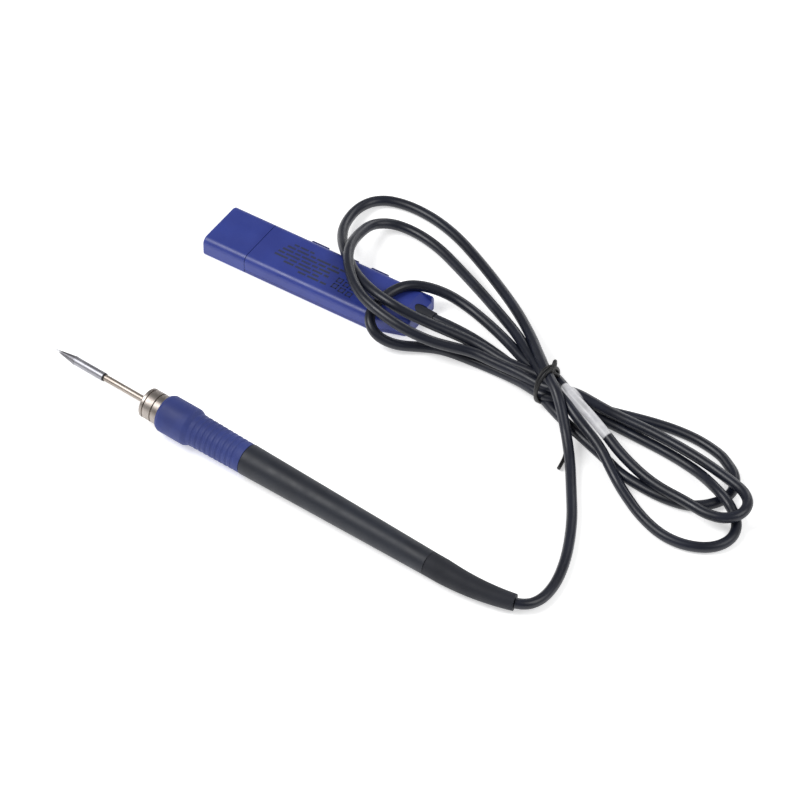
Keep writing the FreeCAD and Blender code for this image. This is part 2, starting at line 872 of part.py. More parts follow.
def make_stick_boot():
    """Small strain relief held by a square foot behind the end wall."""
    y_here = size("stick_boot_y")
    z_here = size("stick_boot_height")
    foot = primitive(
        "Part::Box", "stick_boot_foot",
        FreeCAD.Placement(V(size("stick_boot_front"), y_here - 4, 1.5),
                          FreeCAD.Rotation()),
        Length="2.0", Width="8.0", Height="5.3")
    neck = primitive(
        "Part::Cylinder", "stick_boot_neck",
        along_x("stick_boot_front + 2.0", y_here, z_here),
        Radius="stick_boot_radius",
        Height="stick_boot_taper - stick_boot_front - 2.0")
    tail = primitive(
        "Part::Cone", "stick_boot_tail",
        along_x("stick_boot_taper", y_here, z_here),
        Radius1="stick_boot_radius", Radius2="stick_boot_end_radius",
        Height="stick_boot_end - stick_boot_taper")
    bore = primitive(
        "Part::Cylinder", "stick_boot_bore",
        along_x("stick_boot_front - 1", y_here, z_here),
        Radius="cord_bore_radius",
        Height="stick_boot_end - stick_boot_front + 2")
    solid = combined("Part::MultiFuse", "stick_boot_solid",
                     [foot, neck, tail])
    keep(combined("Part::Cut", "stick_boot", [solid, bore]), STICK)

    centre = STICK.multiply(FreeCAD.Placement(V(0, y_here, z_here),
                                              FreeCAD.Rotation()))
    ring("stick_cord_end", "stick_cord_front", "stick_boot_end + hank_play",
         "0", "cord_radius", centre)
    ring("stick_crimp", "stick_cord_front + 0.6", "stick_boot_front - 0.4",
         "cord_radius", "cord_radius + 0.6", centre)


# ---- the cord ----------------------------------------------------------------


def pen_cord_start():
    return PEN.multVec(boot_end_point())


# The free stretch from the pen's boot to the tie, as the corners of its route.
PEN_RUN = [
    (110.8, -54.7, 3.7), (113.9, -50.8, 3.0), (115.3, -44.4, 2.5),
    (114.4, -35.0, 2.2), (110.5, -22.5, 2.2), (103.0, -7.0, 2.2),
    (92.5, 9.5, 2.2), (80.5, 25.5, 4.0), (71.5, 34.5, 8.2),
    (65.0, 39.5, 10.4),
]


def rounded_path(points):
    """Straight runs joined by tangent arcs, as one wire."""
    edges = []
    here = points[0]
    for before, corner, after in zip(points, points[1:], points[2:]):
        back = before - corner
        ahead = after - corner
        reach = 0.45 * min(back.Length, ahead.Length)
        back.normalize()
        ahead.normalize()
        start = corner + back * reach
        stop = corner + ahead * reach
        half_turn = (math.pi - back.getAngle(ahead)) / 2
        radius = reach / math.tan(half_turn)
        inward = back + ahead
        inward.normalize()
        middle = corner + inward * (radius / math.cos(half_turn) - radius)
        edges.append(Part.LineSegment(here, start).toShape())
        edges.append(Part.Arc(start, middle, stop).toShape())
        print(f"  arc radius {radius:6.1f}")
        here = stop
    edges.append(Part.LineSegment(here, points[-1]).toShape())
    return Part.Wire(edges)


def make_cord_run(label, points):
    """One free stretch of the round cord."""
    print(label)
    path = rounded_path(points)
    radius = size("cord_radius")
    start = points[0]
    heading = points[1] - points[0]
    section = Part.Wire(Part.Circle(start, heading, radius).toShape())
    solid = path.makePipeShell([section], True, False)
    share = solid.Volume / (math.pi * radius ** 2 * path.Length)
    print(f"  length {path.Length:.1f}, volume share {share:.4f}")
    if abs(share - 1) > 0.01:
        raise RuntimeError(f"{label}: the tube's volume is wrong")
    feature = doc.addObject("Part::Feature", label)
    feature.Shape = solid
    return keep(feature, HERE)


# Outlines of the hank's two lobes seen from above, and the gap in each.
LEFT_LOBE = [
    (53, 50), (46, 62), (26, 79), (9, 90), (-4, 98), (-17, 104), (-30, 108),
    (-40, 109), (-50, 105), (-57, 95), (-58, 83), (-54, 70), (-48, 56),
    (-38, 47), (-24, 37), (-12, 34), (2, 35), (14, 38), (28, 41), (42, 41),
    (52, 39),
]
LEFT_GAP = [
    (24, 65), (8, 75), (-8, 82), (-20, 87), (-31, 88), (-38, 81), (-39, 70),
    (-34, 59), (-26, 52), (-21, 55), (-12, 64), (0, 67), (12, 67),
]
RIGHT_LOBE = [
    (67, 48), (82, 53), (98, 57), (113, 59), (125, 58), (138, 54), (148, 47),
    (156, 38), (162, 30), (162, 20), (160, 11), (154, 5), (144, 1), (132, 1),
    (120, 6), (109, 13), (98, 21), (88, 26), (77, 31), (68, 37),
]
RIGHT_GAP = [
    (98, 35), (106, 39), (118, 40), (130, 38), (138, 33), (137, 27), (127, 24),
    (115, 26), (104, 30),
]


def smooth_plate(outline, height):
    """A level plate with a smooth closed outline, standing on z = 0."""
    curve = Part.BSplineCurve()
    curve.interpolate([V(x, y, 0) for x, y in outline], PeriodicFlag=True)
    face = Part.Face(Part.Wire(curve.toShape()))
    return face.extrude(V(0, 0, height))


def make_hank():
    """One closed solid of the tied hank, lying partly across the stick."""
    left = smooth_plate(LEFT_LOBE, size("left_lobe_height"))
    left = left.cut(smooth_plate(LEFT_GAP, size("left_lobe_height")))
    play = size("hank_play")
    stick_room = Part.makeBox(
        size("stick_boot_end") + 2 * play,
        size("stick_width") + size("button_proud") + 2 * play,
        size("stick_height") + play,
        V(size("stick_x") - play, size("stick_y") - play, 0),
    )
    left = left.cut(stick_room)
    right = smooth_plate(RIGHT_LOBE, size("right_lobe_height"))
    right = right.cut(smooth_plate(RIGHT_GAP, size("right_lobe_height")))
    yaw = math.radians(size("waist_yaw"))
    heading = V(math.cos(yaw), math.sin(yaw), 0)
    centre = V(size("waist_x"), size("waist_y"), size("waist_height"))
    waist = Part.makeCylinder(
        size("waist_radius"), size("waist_length"),
        centre - heading * (size("waist_length") / 2), heading,
    )
    feature = doc.addObject("Part::Feature", "cord_hank")
    feature.Shape = left.fuse([right, waist]).removeSplitter()
    if len(feature.Shape.Solids) != 1:
        raise RuntimeError("cord_hank: the hank is not one solid")
    keep(feature, HERE)

    tie = primitive(
        "Part::Torus", "twist_tie",
        FreeCAD.Placement(centre, FreeCAD.Rotation(V(0, 0, 1), heading)),
        Radius1="waist_radius + tie_wire_radius + 0.05",
        Radius2="tie_wire_radius",
    )
    keep(tie, tie.Placement)


def make_cord():
    pen_points = [pen_cord_start()] + [V(*point) for point in PEN_RUN]
    make_cord_run("cord_pen_run", pen_points)
    make_hank()


# ---- the whole object --------------------------------------------------------


def check_and_write():
    doc.recompute()
    for item in doc.Objects:
        bad = {"Invalid", "Error"} & set(item.State)
        if bad:
            raise RuntimeError(f"{item.Label}: {bad}")
    os.makedirs("parts", exist_ok=True)
    for part in parts:
        shape = part.Shape
        if shape.isNull() or not shape.isValid():
            raise RuntimeError(f"{part.Label}: bad shape")
        shape.exportStep(f"parts/{part.Label}.step")
    print(f"{len(parts)} nodes")


def main():
    make_cartridge()
    make_collar()
    make_grip()
    make_socket()
    make_handle()
    make_leads()
    make_boot()
    make_upper_shell()
    make_lower_cover()
    make_cap()
    make_plug()
    make_electronics()
    make_buttons()
    make_stick_boot()
    make_cord()
    check_and_write()


main()
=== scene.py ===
import json
import math

import bmesh
import bpy
from mathutils import Matrix, Vector

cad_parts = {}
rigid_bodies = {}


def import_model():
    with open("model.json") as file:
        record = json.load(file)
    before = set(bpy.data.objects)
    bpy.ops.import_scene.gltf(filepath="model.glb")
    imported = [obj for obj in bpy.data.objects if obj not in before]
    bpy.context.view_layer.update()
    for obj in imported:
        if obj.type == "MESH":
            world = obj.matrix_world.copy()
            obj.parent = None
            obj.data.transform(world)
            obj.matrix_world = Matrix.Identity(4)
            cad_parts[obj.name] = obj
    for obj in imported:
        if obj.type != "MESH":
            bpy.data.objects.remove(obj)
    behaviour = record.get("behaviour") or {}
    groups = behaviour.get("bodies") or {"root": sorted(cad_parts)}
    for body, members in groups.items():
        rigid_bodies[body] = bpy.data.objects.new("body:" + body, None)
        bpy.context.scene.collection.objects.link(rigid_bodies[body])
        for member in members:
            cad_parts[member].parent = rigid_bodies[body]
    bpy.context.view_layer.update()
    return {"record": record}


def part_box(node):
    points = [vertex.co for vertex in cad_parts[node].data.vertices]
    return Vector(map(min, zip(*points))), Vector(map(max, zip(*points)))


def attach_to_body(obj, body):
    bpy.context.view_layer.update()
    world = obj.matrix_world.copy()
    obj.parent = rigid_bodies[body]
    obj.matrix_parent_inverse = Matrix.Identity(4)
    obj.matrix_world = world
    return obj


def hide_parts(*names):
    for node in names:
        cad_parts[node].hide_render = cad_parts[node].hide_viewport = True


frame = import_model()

MM = 0.001


def mm(x, y, z):
    """A point given in millimetres of the row frame."""
    return Vector((x * MM, y * MM, z * MM))


# ---- camera ------------------------------------------------------------------

CAMERA_PLACE = (778.5, -1161.8, 1426.5)
CAMERA_TARGET = (12.96, 12.5, 0.0)
CAMERA_LENS = 233.8
SENSOR_WIDTH = 36.0


def add_camera(position, target, lens):
    data = bpy.data.cameras.new("camera")
    data.lens = lens
    data.sensor_width = SENSOR_WIDTH
    data.clip_start = 0.1
    data.clip_end = 20.0
    camera = bpy.data.objects.new("camera", data)
    camera.location = position
    look = (target - position).normalized()
    camera.rotation_euler = look.to_track_quat("-Z", "Y").to_euler()
    bpy.context.collection.objects.link(camera)
    bpy.context.scene.camera = camera


add_camera(mm(*CAMERA_PLACE), mm(*CAMERA_TARGET), CAMERA_LENS)

# ---- the cord ----------------------------------------------------------------

CORD_DIAMETER = 4.2
CURVE_ORDER = 3
ROUND_STEPS = 6
# The route's control points, in the order that the cord follows them. The cord
# passes the tie seven times, with three loops on each side of it.
PEN_RUN = [
    (108.1, -55.8, 4.1), (110.8, -54.7, 3.7), (113.9, -50.8, 3.0),
    (115.3, -44.4, 2.5), (114.4, -35.0, 2.2), (110.5, -22.5, 2.2),
    (103.0, -7.0, 2.2), (94.5, 6.0, 2.2), (86.5, 18.0, 3.0),
    (80.0, 26.0, 5.5), (75.0, 31.0, 10.0), (69.0, 36.5, 14.2),
]
OVER_TIE = [(63.5, 40.5, 14.9), (58.0, 45.0, 14.8), (52.5, 50.5, 13.0)]
LOOP_LEFT_1 = [
    (41.0, 62.0, 9.5), (27.5, 73.0, 7.0), (11.5, 83.5, 5.0),
    (-2.5, 92.0, 3.2), (-15.0, 98.5, 2.4), (-27.0, 102.5, 2.1),
    (-37.5, 103.8, 2.1), (-45.5, 103.2, 2.2), (-52.0, 101.0, 2.4),
    (-56.5, 96.0, 2.8), (-58.0, 88.0, 3.6), (-56.0, 77.5, 5.0),
    (-51.0, 68.5, 7.5), (-44.5, 61.0, 10.4), (-36.5, 53.7, 11.6),
    (-28.1, 47.9, 13.4), (-18.2, 43.6, 14.8), (-9.6, 42.5, 14.4),
    (-3.4, 43.3, 12.6), (1.9, 44.3, 11.2), (10.5, 45.5, 10.0),
    (19.5, 46.5, 9.2), (28.0, 47.0, 8.4), (40.0, 45.5, 7.8),
]
TIE_1 = [(50.0, 46.5, 7.6), (60.0, 46.5, 7.4), (68.0, 44.0, 7.4)]
LOOP_RIGHT_1 = [
    (75.0, 42.5, 6.0), (83.0, 43.5, 3.2), (93.5, 44.0, 2.1),
    (103.0, 43.5, 2.1), (112.0, 43.0, 2.1), (121.0, 42.0, 2.1),
    (131.5, 39.3, 3.0), (142.2, 33.1, 6.2), (149.2, 29.6, 6.2),
    (153.5, 27.2, 4.0), (157.0, 23.3, 2.4), (158.0, 17.0, 2.1),
    (155.5, 11.2, 2.1), (150.5, 7.2, 2.1), (143.0, 4.8, 2.1),
    (134.0, 5.0, 2.1), (123.0, 9.0, 2.1), (113.0, 15.0, 2.1),
    (107.0, 19.0, 2.4), (101.5, 22.5, 4.2), (95.5, 26.5, 6.2),
    (89.0, 30.0, 7.2), (84.0, 32.0, 8.2), (79.0, 34.0, 9.6),
]
TIE_2 = [
    (71.5, 38.0, 11.0), (65.0, 43.0, 10.9), (60.0, 44.0, 10.6),
    (55.5, 46.5, 10.2),
]
LOOP_LEFT_2 = [
    (44.5, 54.0, 9.0), (36.0, 60.5, 8.0), (23.0, 68.0, 6.5),
    (9.5, 75.5, 5.0), (-4.0, 82.5, 3.6), (-18.0, 89.2, 2.6),
    (-29.5, 91.8, 2.6), (-38.5, 91.2, 3.2), (-43.5, 88.2, 4.4),
    (-46.8, 82.5, 6.2), (-46.0, 72.5, 9.2), (-43.2, 62.5, 13.0),
    (-38.0, 53.0, 14.8), (-30.5, 45.0, 15.0), (-22.5, 39.5, 15.0),
    (-14.0, 36.5, 14.8), (-5.0, 34.8, 14.2), (3.5, 35.0, 12.6),
    (12.0, 37.0, 10.6), (18.5, 40.0, 9.0), (27.0, 43.0, 8.2),
]
TIE_3 = [(36.5, 43.0, 7.8), (48.0, 43.5, 7.5), (60.0, 42.0, 7.6)]
LOOP_RIGHT_2 = [
    (67.0, 43.0, 9.6), (73.5, 44.0, 10.4), (84.0, 45.0, 7.6),
    (92.5, 45.5, 6.3), (106.0, 45.5, 6.3), (118.5, 44.5, 6.3),
    (129.5, 43.0, 6.3), (138.0, 41.2, 6.3), (145.5, 39.2, 6.5),
    (152.0, 37.0, 6.9), (156.8, 32.0, 7.3), (157.0, 25.5, 7.3),
    (152.4, 20.6, 7.0), (145.5, 19.6, 6.6), (139.5, 20.6, 6.3),
    (134.0, 21.5, 6.0), (123.5, 22.8, 5.2), (114.0, 25.0, 5.2),
    (102.0, 29.0, 6.5), (93.0, 33.0, 8.5), (82.5, 37.0, 10.8),
    (74.5, 40.0, 11.6),
]
TIE_4 = [(67.5, 43.5, 11.4), (61.0, 47.0, 10.8), (54.0, 48.5, 8.0)]
LOOP_LEFT_3 = [
    (46.5, 50.5, 6.5), (33.5, 57.0, 6.0), (20.0, 62.0, 6.0),
    (9.0, 64.8, 6.4), (0.5, 64.8, 8.0), (-7.5, 62.5, 9.4),
    (-13.5, 58.5, 10.3), (-16.5, 52.5, 10.4), (-17.8, 45.0, 10.5),
    (-17.6, 38.5, 10.4), (-14.8, 33.2, 9.2), (-9.5, 31.0, 6.6),
    (-2.5, 33.6, 3.6), (5.0, 39.4, 2.1), (13.0, 43.0, 2.1),
]
TIE_5 = [
    (25.0, 44.0, 2.1), (38.0, 44.5, 2.2), (49.0, 43.0, 3.8),
    (59.5, 39.3, 6.2),
]
LOOP_RIGHT_3 = [
    (67.0, 40.5, 6.0), (74.0, 44.8, 3.6), (81.0, 48.5, 2.1),
    (89.5, 50.5, 2.1), (97.5, 52.5, 2.1), (105.0, 54.0, 2.1),
    (113.0, 55.0, 2.1), (122.0, 55.0, 2.1), (132.0, 53.0, 2.1),
    (136.5, 50.5, 2.1), (142.0, 47.0, 2.1), (145.0, 42.0, 2.1),
    (146.0, 37.0, 2.1), (144.5, 31.5, 2.1), (140.0, 26.0, 2.1),
    (134.5, 22.8, 2.1), (125.0, 21.5, 2.1), (116.0, 22.0, 2.1),
    (105.5, 23.5, 2.1), (97.0, 27.0, 2.2), (88.0, 30.0, 2.6),
    (80.5, 32.0, 3.4),
]
STICK_RUN = [
    (72.0, 34.5, 4.4), (62.5, 39.0, 4.0), (52.0, 45.5, 2.6),
    (39.0, 50.5, 2.1), (28.0, 53.0, 2.1), (18.0, 54.5, 2.4),
    (9.0, 54.0, 3.6), (5.0, 53.5, 4.1), (2.3, 53.4, 4.2),
]
ROUTE = (
    PEN_RUN + OVER_TIE + LOOP_LEFT_1 + TIE_1 + LOOP_RIGHT_1 + TIE_2
    + LOOP_LEFT_2 + TIE_3 + LOOP_RIGHT_2 + TIE_4 + LOOP_LEFT_3 + TIE_5
    + LOOP_RIGHT_3 + STICK_RUN
)


def add_curve(name, lines, radius, steps=10):
    """Round strands of one thickness, each on its own control points.

    The thickness is set on the points, not as the bevel's depth, because the
    points' radius is part of the curve's bounds.
    """
    curve = bpy.data.curves.new(name, "CURVE")
    curve.dimensions = "3D"
    curve.resolution_u = steps
    curve.bevel_depth = 1.0
    curve.bevel_resolution = ROUND_STEPS
    curve.use_fill_caps = True
    for places, closed in lines:
        spline = curve.splines.new("NURBS")
        spline.points.add(len(places) - 1)
        for point, place in zip(spline.points, places):
            point.co = (*mm(*place), 1.0)
            point.radius = radius * MM
        spline.order_u = CURVE_ORDER
        spline.use_cyclic_u = closed
        spline.use_endpoint_u = not closed
    piece = bpy.data.objects.new(name, curve)
    bpy.context.collection.objects.link(piece)
    return piece


def attach(piece, body):
    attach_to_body(piece, body)


cord = add_curve("cord", [(ROUTE, False)], CORD_DIAMETER / 2)
attach(cord, "frame")
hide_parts("cord_pen_run", "cord_hank")

# ---- twist tie ---------------------------------------------------------------

TIE_RADIUS = 0.75
TIE_CENTRE = (60.5, 42.7, 9.2)
# The direction across the bundle, on the table.
TIE_ACROSS = (0.17, 0.985)
TIE_HALF_WIDTH = 6.4
TIE_HALF_HEIGHT = 8.2
# The curve runs inside its control points, so they stand out by this factor.
TIE_SWELL = 1.06
TIE_LOOP_POINTS = 10
# How far each of the band's two turns leans along the bundle.
TIE_LEANS = (1.0, -0.6)


def tie_loop(lean):
    """A closed loop round the bundle, leaning along it by some millimetres."""
    places = []
    for step in range(TIE_LOOP_POINTS):
        angle = step * math.tau / TIE_LOOP_POINTS
        out = TIE_HALF_WIDTH * math.cos(angle) * TIE_SWELL
        up = TIE_HALF_HEIGHT * math.sin(angle) * TIE_SWELL
        places.append((
            TIE_CENTRE[0] + out * TIE_ACROSS[0] + lean * math.sin(angle),
            TIE_CENTRE[1] + out * TIE_ACROSS[1],
            TIE_CENTRE[2] + up,
        ))
    return places


TIE_EYELET = [
    (61.9, 44.0, 15.4), (61.6, 45.2, 17.4), (61.2, 46.8, 18.4),
    (60.8, 48.2, 17.6), (60.9, 47.8, 15.6), (61.5, 46.0, 14.4),
]
TIE_STUB = [(61.4, 43.4, 16.6), (62.4, 44.6, 15.2), (64.0, 45.6, 12.9)]
TIE_KNOT = [
    (61.4, 42.4, 16.4), (62.4, 43.4, 17.1), (61.2, 44.6, 16.8),
    (61.9, 45.2, 15.3), (62.8, 44.2, 14.8), (61.6, 43.4, 15.6),
]
TIE_TAIL = [
    (60.9, 42.6, 0.75), (67.5, 39.5, 0.75), (74.0, 34.5, 0.75),
    (79.5, 27.5, 0.75), (82.4, 21.0, 0.8), (83.3, 17.5, 0.9),
    (84.0, 13.9, 1.3),
]


def add_wire(name, lines):
    """Bent wire with a plastic coat, as a mesh."""
    line = add_curve(name + "_line", lines, TIE_RADIUS, steps=8)
    bpy.context.view_layer.update()
    mesh = bpy.data.meshes.new_from_object(line)
    bpy.data.objects.remove(line)
    mesh.shade_smooth()
    wire = bpy.data.objects.new(name, mesh)
    bpy.context.collection.objects.link(wire)
    return wire


tie_band = add_wire(
    "tie_band", [(tie_loop(lean), True) for lean in TIE_LEANS])
tie_ends = add_wire(
    "tie_ends",
    [(TIE_EYELET, True), (TIE_STUB, False), (TIE_KNOT, True),
     (TIE_TAIL, False)])
for piece in (tie_band, tie_ends):
    attach(piece, "frame")
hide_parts("twist_tie")

# ---- print on the stick ------------------------------------------------------

PRINT_THICKNESS = 0.05
# Each row: distance from the stick's near edge, width of its bars, and then
# each bar's distance along the stick from the cap's end and its length.
PRINT_ROWS = (
    (17.2, 0.9, (
        (32.5, 2.2), (35.4, 3.6), (39.8, 2.0),
    )),
    (15.2, 1.0, (
        (30.6, 3.8), (35.1, 5.4), (41.4, 2.4), (44.5, 6.2), (51.5, 3.0),
        (55.3, 4.4),
    )),
    (13.2, 1.0, (
        (29.6, 5.0), (35.3, 2.6), (38.6, 7.0), (46.4, 3.4), (50.5, 5.6),
    )),
    (11.2, 1.0, (
        (28.8, 3.0), (32.5, 6.4), (39.7, 4.2), (44.7, 2.6), (48.0, 5.0),
    )),
    (9.2, 1.0, (
        (28.4, 6.2), (35.4, 3.4), (39.6, 5.8), (46.2, 4.6), (51.6, 2.2),
    )),
    (7.2, 1.0, (
        (34.0, 4.6), (39.4, 7.2), (47.4, 3.0),
    )),
    (5.2, 1.0, (
        (42.0, 3.6), (46.4, 5.2), (52.4, 2.8),
    )),
)
SYMBOL_SIDE = 2.6
SYMBOL_LINE = 0.5
SYMBOL_PLACES = (
    (61.5, 13.2), (58.6, 10.0), (58.6, 6.4), (62.2, 9.4), (62.2, 5.8),
    (65.8, 9.0), (65.8, 5.4),
)


def add_print():
    """Plain bars and square outlines instead of lettering and symbols."""
    start_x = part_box("plug_cap")[0][0]
    start_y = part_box("upper_shell")[0][1]
    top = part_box("upper_shell")[1][2]
    work = bmesh.new()
    for across, width, bars in PRINT_ROWS:
        for along, length in bars:
            made = bmesh.ops.create_cube(work, size=1.0)["verts"]
            bmesh.ops.scale(
                work, verts=made,
                vec=(length * MM, width * MM, PRINT_THICKNESS * MM))
            bmesh.ops.translate(
                work, verts=made,
                vec=(start_x + (along + length / 2) * MM,
                     start_y + across * MM, top))
    for along, across in SYMBOL_PLACES:
        add_symbol(work, start_x + along * MM, start_y + across * MM, top)
    mesh = bpy.data.meshes.new("stick_print")
    work.to_mesh(mesh)
    work.free()
    piece = bpy.data.objects.new("stick_print", mesh)
    bpy.context.collection.objects.link(piece)
    attach(piece, "frame")
    return piece


def add_symbol(work, x, y, top):
    """A small flat square outline."""
    side, line = SYMBOL_SIDE * MM, SYMBOL_LINE * MM
    for turn in range(4):
        made = bmesh.ops.create_cube(work, size=1.0)["verts"]
        bmesh.ops.scale(
            work, verts=made, vec=(side, line, PRINT_THICKNESS * MM))
        bmesh.ops.translate(
            work, verts=made, vec=(0, (side - line) / 2, 0))
        bmesh.ops.rotate(
            work, verts=made, cent=(0, 0, 0),
            matrix=Matrix.Rotation(turn * math.pi / 2, 3, "Z"))
        bmesh.ops.translate(work, verts=made, vec=(x, y, top))


stick_print = add_print()

# ---- materials ---------------------------------------------------------------

# The mix node's colour sockets share their names with its number sockets, so
# they are picked by index.
MIX_FIRST, MIX_SECOND, MIX_RESULT = 6, 7, 2
MOTTLE_SCALE = 70.0
SHEEN_SCALE = 160.0


def srgb(red, green, blue):
    """A linear colour from the 0 to 255 values that a screen shows."""
    return tuple((part / 255) ** 2.2 for part in (red, green, blue)) + (1.0,)


class Finish:
    """A procedural surface: two mottled colours, roughness and fine relief."""

    def __init__(self, name, colour, deep, rough, metal=0.0):
        self.material = bpy.data.materials.new(name)
        self.material.use_nodes = True
        self.material.diffuse_color = colour
        self.tree = self.material.node_tree
        self.shader = self.tree.nodes["Principled BSDF"]
        self.shader.inputs["Metallic"].default_value = metal
        self.place = self.add("ShaderNodeTexCoord").outputs["Object"]
        self.colour(colour, deep)
        self.roughness(*rough)

    def add(self, kind, **values):
        node = self.tree.nodes.new(kind)
        for key, value in values.items():
            setattr(node, key, value)
        return node

    def link(self, source, target):
        self.tree.links.new(source, target)

    def noise(self, scale, detail=3.0, stretch=(1, 1, 1)):
        spread = self.add("ShaderNodeMapping")
        spread.inputs["Scale"].default_value = stretch
        self.link(self.place, spread.inputs["Vector"])
        noise = self.add("ShaderNodeTexNoise")
        noise.inputs["Scale"].default_value = scale
        noise.inputs["Detail"].default_value = detail
        self.link(spread.outputs["Vector"], noise.inputs["Vector"])
        return noise.outputs["Fac"]

    def mix(self, fac, first, second):
        """Colours mixed by a factor; each colour is a value or a socket."""
        blend = self.add("ShaderNodeMix", data_type="RGBA")
        self.link(fac, blend.inputs["Factor"])
        for index, given in ((MIX_FIRST, first), (MIX_SECOND, second)):
            if isinstance(given, bpy.types.NodeSocket):
                self.link(given, blend.inputs[index])
            else:
                blend.inputs[index].default_value = given
        return blend.outputs[MIX_RESULT]

    def ramp(self, fac, low, high, start=0.0, end=1.0):
        """A factor stretched from low..high to start..end and held there."""
        spread = self.add("ShaderNodeMapRange")
        for key, value in (("From Min", low), ("From Max", high),
                           ("To Min", start), ("To Max", end)):
            spread.inputs[key].default_value = value
        self.link(fac, spread.inputs["Value"])
        return spread.outputs["Result"]

    def colour(self, colour, deep):
        fac = self.ramp(self.noise(MOTTLE_SCALE, 4.0), 0.35, 0.65)
        self.base = self.mix(fac, colour, deep)
        self.link(self.base, self.shader.inputs["Base Color"])

    def tint(self, fac, colour):
        """Lays another colour over the base where the factor is high."""
        self.base = self.mix(fac, self.base, colour)
        self.link(self.base, self.shader.inputs["Base Color"])

    def roughness(self, low, high):
        fac = self.ramp(self.noise(SHEEN_SCALE), 0.3, 0.7, low, high)
        self.link(fac, self.shader.inputs["Roughness"])

    def relief(self, height, strength, depth):
        bump = self.add("ShaderNodeBump")
        bump.inputs["Strength"].default_value = strength
        bump.inputs["Distance"].default_value = depth
        self.link(height, bump.inputs["Height"])
        self.link(bump.outputs["Normal"], self.shader.inputs["Normal"])

    def grain(self, scale, strength, depth=0.06 * MM, stretch=(1, 1, 1)):
        self.relief(self.noise(scale, 4.0, stretch), strength, depth)


def moulded(name, colour, deep, rough, grain=2600.0, strength=0.22):
    """Fine-grained plastic."""
    finish = Finish(name, srgb(*colour), srgb(*deep), rough)
    finish.grain(grain, strength)
    return finish


def rubber(name, colour, deep, rough):
    """Soft matte rubber with a powdery grain."""
    finish = Finish(name, srgb(*colour), srgb(*deep), rough)
    finish.grain(1500.0, strength=0.3, depth=0.08 * MM)
    finish.shader.inputs["Specular IOR Level"].default_value = 0.4
    return finish


def metal(name, colour, deep, rough, stretch=(1, 1, 1), strength=0.2):
    """Bare metal; a stretched grain gives turned or drawn lines."""
    finish = Finish(name, srgb(*colour), srgb(*deep), rough, metal=1.0)
    finish.grain(1800.0, strength, 0.04 * MM, stretch)
    return finish


# How a metal's grain is stretched: round the piece, or along it.
TURNED = (1.0, 0.04, 0.04)
DRAWN = (0.05, 1.0, 1.0)
# The tinned point's full length, and where it has faded out, from its end.
TINNED_FULL = 2.6
TINNED_END = 3.6
TINNED_WAVER = 0.4


def tip_finish(name):
    """A dark plated cone with a bright tinned point."""
    finish = metal(name, (160, 160, 166), (112, 110, 114), (0.4, 0.55),
                   DRAWN)
    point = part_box("tip_bit")[0][0]
    split = finish.add("ShaderNodeSeparateXYZ")
    finish.link(finish.place, split.inputs[0])
    along = split.outputs["X"]
    edge = finish.add("ShaderNodeMath", operation="ADD")
    finish.link(along, edge.inputs[0])
    waver = finish.ramp(finish.noise(900.0), 0.3, 0.7, -TINNED_WAVER * MM,
                         TINNED_WAVER * MM)
    finish.link(waver, edge.inputs[1])
    tinned = finish.ramp(edge.outputs[0], point + TINNED_FULL * MM,
                         point + TINNED_END * MM, 1, 0)
    finish.tint(tinned, srgb(222, 222, 226))
    return finish


# The painted highlight, a pale whited-out patch, lies on the upper right loop,
# beside the tie.
HIGHLIGHT_START = (70.0, 42.2, 11.6)
HIGHLIGHT_END = (92.3, 33.1, 8.9)
HIGHLIGHT_INSIDE = 2.6
HIGHLIGHT_OUTSIDE = 3.1


def cord_finish(name):
    """Soft black jacket with a painted highlight, a pale whited-out patch,
    beside the tie.
    """
    finish = Finish(name, srgb(32, 36, 49), srgb(26, 29, 40),
                    (0.31, 0.43))
    start, end = mm(*HIGHLIGHT_START), mm(*HIGHLIGHT_END)
    span = end - start
    offset = finish.add("ShaderNodeVectorMath", operation="SUBTRACT")
    finish.link(finish.place, offset.inputs[0])
    offset.inputs[1].default_value = start
    reach = finish.add("ShaderNodeVectorMath", operation="DOT_PRODUCT")
    finish.link(offset.outputs["Vector"], reach.inputs[0])
    reach.inputs[1].default_value = span
    along = finish.ramp(reach.outputs["Value"], 0.0, span.length_squared)
    nearest = finish.add("ShaderNodeVectorMath", operation="SCALE")
    nearest.inputs[0].default_value = span
    finish.link(along, nearest.inputs["Scale"])
    gap = finish.add("ShaderNodeVectorMath", operation="DISTANCE")
    finish.link(offset.outputs["Vector"], gap.inputs[0])
    finish.link(nearest.outputs["Vector"], gap.inputs[1])
    # Painted highlight: full strength near the line from start to end, fading
    # out further from it.
    painted_highlight = finish.ramp(gap.outputs["Value"], HIGHLIGHT_INSIDE * MM,
                       HIGHLIGHT_OUTSIDE * MM, 1.0, 0.0)
    # The painted highlight's near-white colours, laid over the jacket.
    highlight_colour = finish.mix(finish.ramp(finish.noise(260.0), 0.35, 0.65),
                      srgb(226, 226, 229), srgb(204, 204, 209))
    finish.tint(painted_highlight, highlight_colour)
    finish.grain(1100.0, strength=0.25, depth=0.05 * MM)
    return finish


